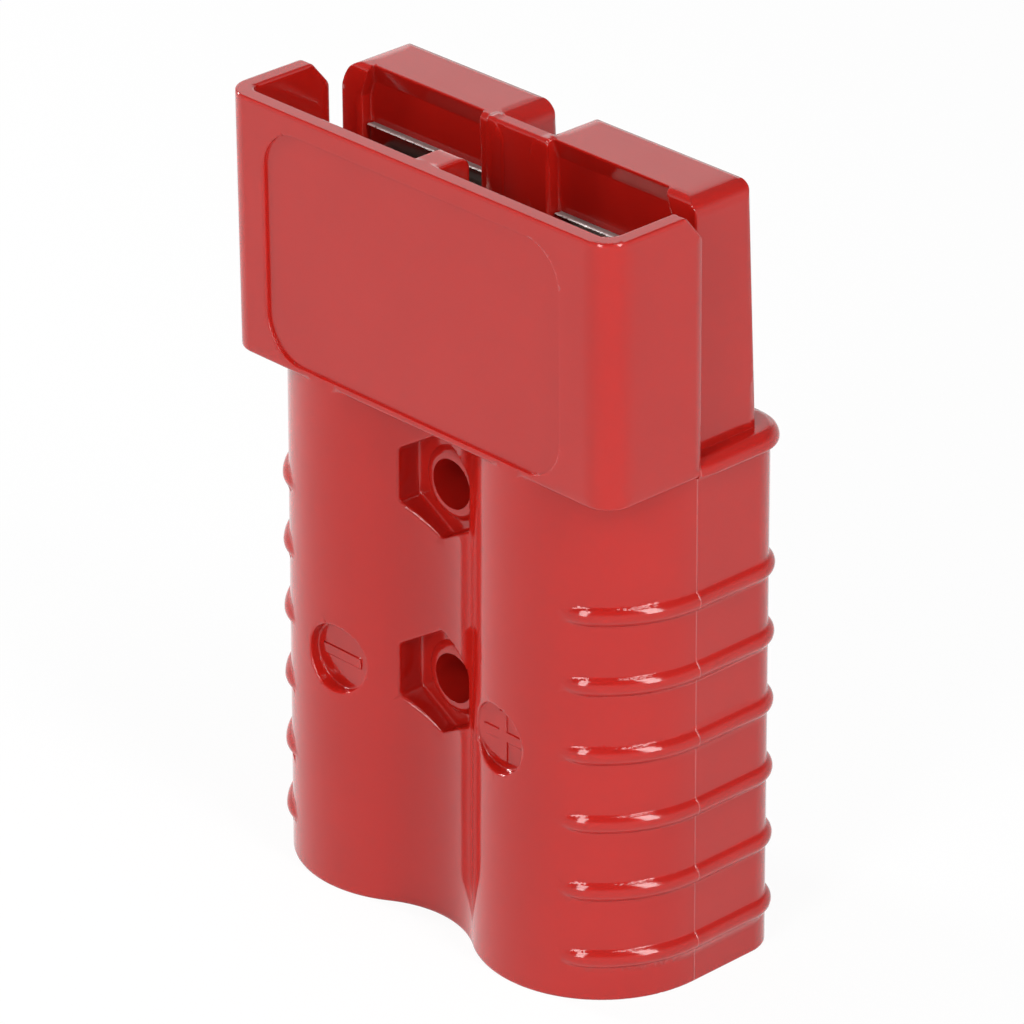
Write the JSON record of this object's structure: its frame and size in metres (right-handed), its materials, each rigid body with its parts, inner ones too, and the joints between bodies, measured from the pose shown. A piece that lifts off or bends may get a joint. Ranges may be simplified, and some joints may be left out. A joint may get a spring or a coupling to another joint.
{
  "type": "genderless power connector",
  "caption": "Two-pole genderless high-current plug housing with hood, grip ribs, flat spring contacts and a pair of mounting holes.",
  "frame": {"origin": "centre of the flat cable end, on the mould parting plane between hood side and block side", "axes": "+Z to the mating end, +X to the positive pole, -Y to the hood"},
  "size_m": [0.0708, 0.0341, 0.108],
  "materials": {
    "housing_plastic": "glossy red moulded polycarbonate",
    "contact_metal": "silver plate over copper alloy",
    "spring_steel": "stainless leaf spring, sheared edges"
  },
  "bodies": {
    "root": {"housing": "housing_plastic", "contact_negative": "contact_metal", "contact_positive": "contact_metal", "spring_negative": "spring_steel", "spring_positive": "spring_steel"}
  },
  "joints": []
}
